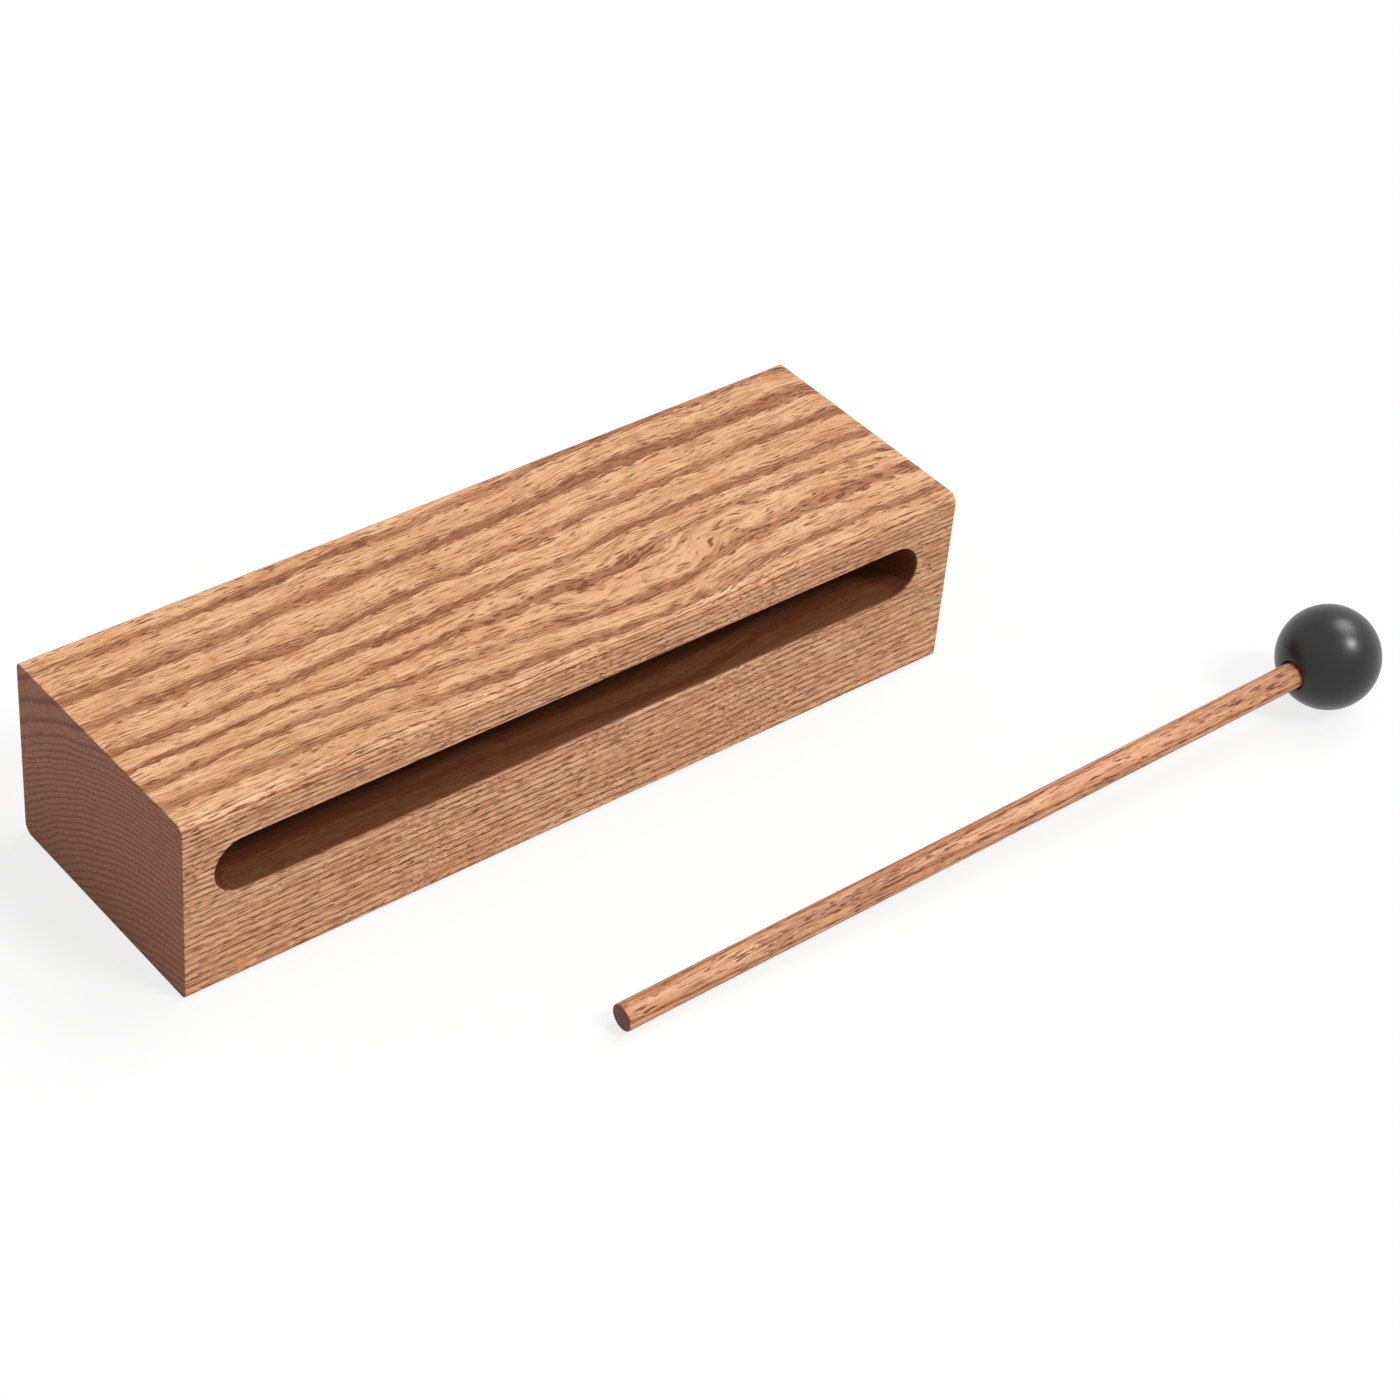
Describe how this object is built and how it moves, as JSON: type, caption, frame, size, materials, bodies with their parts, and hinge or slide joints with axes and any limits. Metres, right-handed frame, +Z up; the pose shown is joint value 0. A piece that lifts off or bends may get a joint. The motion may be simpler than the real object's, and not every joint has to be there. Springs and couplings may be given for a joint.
{
  "type": "wood block",
  "caption": "Solid hardwood bar with a long round-ended slot routed into its front face, so that it rings when struck, and a mallet of a dowel and a black ball lying before it.",
  "frame": {"origin": "centre of the block's underside, on the surface that it rests on", "axes": "+X along the block, towards the side where the mallet's head lies; -Y out of the slotted front face; +Z up"},
  "size_m": [0.3501, 0.1703, 0.0572],
  "materials": {
    "oak_block": "figured red oak, sanded and lightly oiled, satin; darker end grain",
    "oak_dowel": "reddish oak dowel, sanded, satin",
    "black_ball": "wooden ball under smooth satin black paint"
  },
  "bodies": {
    "block": {"block": "oak_block"},
    "mallet": {"mallet_stick": "oak_dowel", "mallet_head": "black_ball"}
  },
  "joints": [
    {"name": "mallet_lift", "type": "slide", "parent": "block", "child": "mallet", "axis": [0, 0, 1], "range_m": [0, 0.12]}
  ]
}
